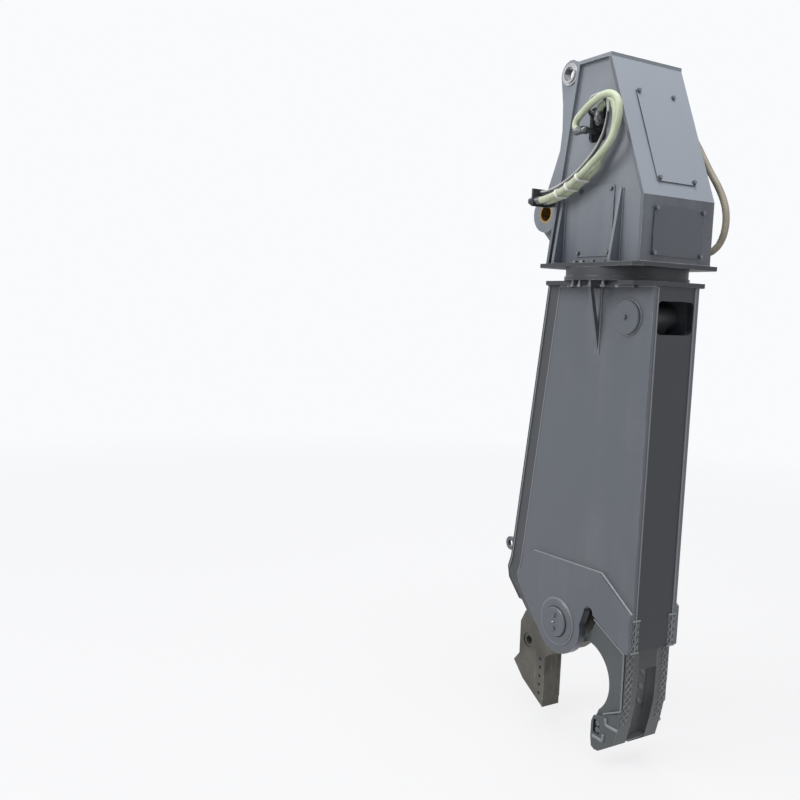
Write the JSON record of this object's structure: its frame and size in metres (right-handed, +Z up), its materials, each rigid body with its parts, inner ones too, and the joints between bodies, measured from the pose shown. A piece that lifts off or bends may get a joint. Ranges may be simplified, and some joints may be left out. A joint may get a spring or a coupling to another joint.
{
  "type": "car dismantling shear",
  "caption": "Excavator-mounted hydraulic shear: boom-pin head, slewing housing, fixed jaw of paired plates and a single cylinder-driven moving jaw.",
  "frame": {"origin": "centre of the boom pin bore in the head's rear boss", "axes": "+X towards the front, where the fixed jaw's back is; +Y along the boom pin, away from the side with the hose pair; +Z up along the slew axis"},
  "size_m": [1.3331, 0.842, 4.3979],
  "materials": {
    "grey_paint": "satin",
    "pale_grey_paint": "satin",
    "dark_paint": "satin",
    "steel": "satin",
    "worn_steel": "worn",
    "bronze": "satin",
    "hose_sleeve": "matt",
    "rubber": "matt"
  },
  "bodies": {
    "head": {"base_plate": "grey_paint", "head_side_near": "grey_paint", "head_side_far": "grey_paint", "head_front_plate": "pale_grey_paint", "head_top_plate": "pale_grey_paint", "head_back_plate": "grey_paint", "ears": "pale_grey_paint", "boom_pin_boss": "grey_paint", "boom_pin_bushes": "bronze", "arm_pin_bushes": "steel", "side_gussets": "grey_paint", "slope_cover": "pale_grey_paint", "lower_front_cover": "dark_paint", "side_covers": "grey_paint", "cover_bolts": "dark_paint", "ring_outer": "grey_paint", "ring_bolts": "dark_paint", "slew_motor": "dark_paint", "swivel_housing": "dark_paint", "port_elbows": "dark_paint", "hose_pair": "hose_sleeve", "hose_thin_pair": "rubber", "hose_ties": "rubber", "hose_clamp": "dark_paint", "hose_far": "hose_sleeve"},
    "pinion": {"slew_pinion": "steel"},
    "body": {"ring_flange": "grey_paint", "ring_geared": "steel", "flange_bolts": "dark_paint", "swivel_spindle": "steel", "body_top_plate": "grey_paint", "body_side_near": "grey_paint", "body_side_far": "grey_paint", "body_front_plate": "dark_paint", "body_back_plate": "dark_paint", "corner_plates": "grey_paint", "top_fins": "grey_paint", "cheek_near": "grey_paint", "cheek_far": "grey_paint", "jaw_plate_near": "grey_paint", "jaw_plate_far": "grey_paint", "throat_block": "dark_paint", "nose_plate": "dark_paint", "fixed_blades": "steel", "jaw_screws": "steel", "cylinder_bosses": "dark_paint", "cylinder_pin": "steel", "cylinder_pin_caps": "pale_grey_paint", "pivot_collars": "pale_grey_paint", "pivot_pin": "steel", "pivot_caps": "pale_grey_paint", "lifting_eyes": "steel"},
    "jaw": {"moving_jaw": "worn_steel", "jaw_bushes": "bronze", "jaw_blades": "worn_steel", "jaw_blade_bolts": "steel", "rod_pin_ends": "steel"},
    "cylinder": {"barrel": "dark_paint"},
    "rod": {"rod": "steel", "rod_pin_middle": "steel"}
  },
  "joints": [
    {"name": "slew", "type": "hinge", "parent": "head", "child": "body", "pos_m": [0.62, 0, -0.455], "axis": [0, 0, 1], "continuous": true},
    {"name": "slew_pinion_spin", "type": "hinge", "parent": "head", "child": "pinion", "pos_m": [0.784, 0, -0.401], "axis": [0, 0, 1], "continuous": true},
    {"name": "jaw", "type": "hinge", "parent": "body", "child": "jaw", "pos_m": [0.408, 0, -2.681], "axis": [0, -1, 0], "range_deg": [0, 94]},
    {"name": "cylinder_swing", "type": "hinge", "parent": "body", "child": "cylinder", "pos_m": [0.845, 0, -0.669], "axis": [0, -1, 0], "range_deg": [0, 1.47]},
    {"name": "rod_slide", "type": "slide", "parent": "cylinder", "child": "rod", "axis": [-0.3307, 0, -0.9437], "range_m": [0, 0.4799]}
  ],
  "couplings": [
    {"joint": "slew_pinion_spin", "follows": "slew", "ratio": 3.5385},
    {"joint": "cylinder_swing", "follows": "jaw", "ratio": 0.015655},
    {"joint": "rod_slide", "follows": "jaw", "m_per_rad": 0.29245}
  ]
}
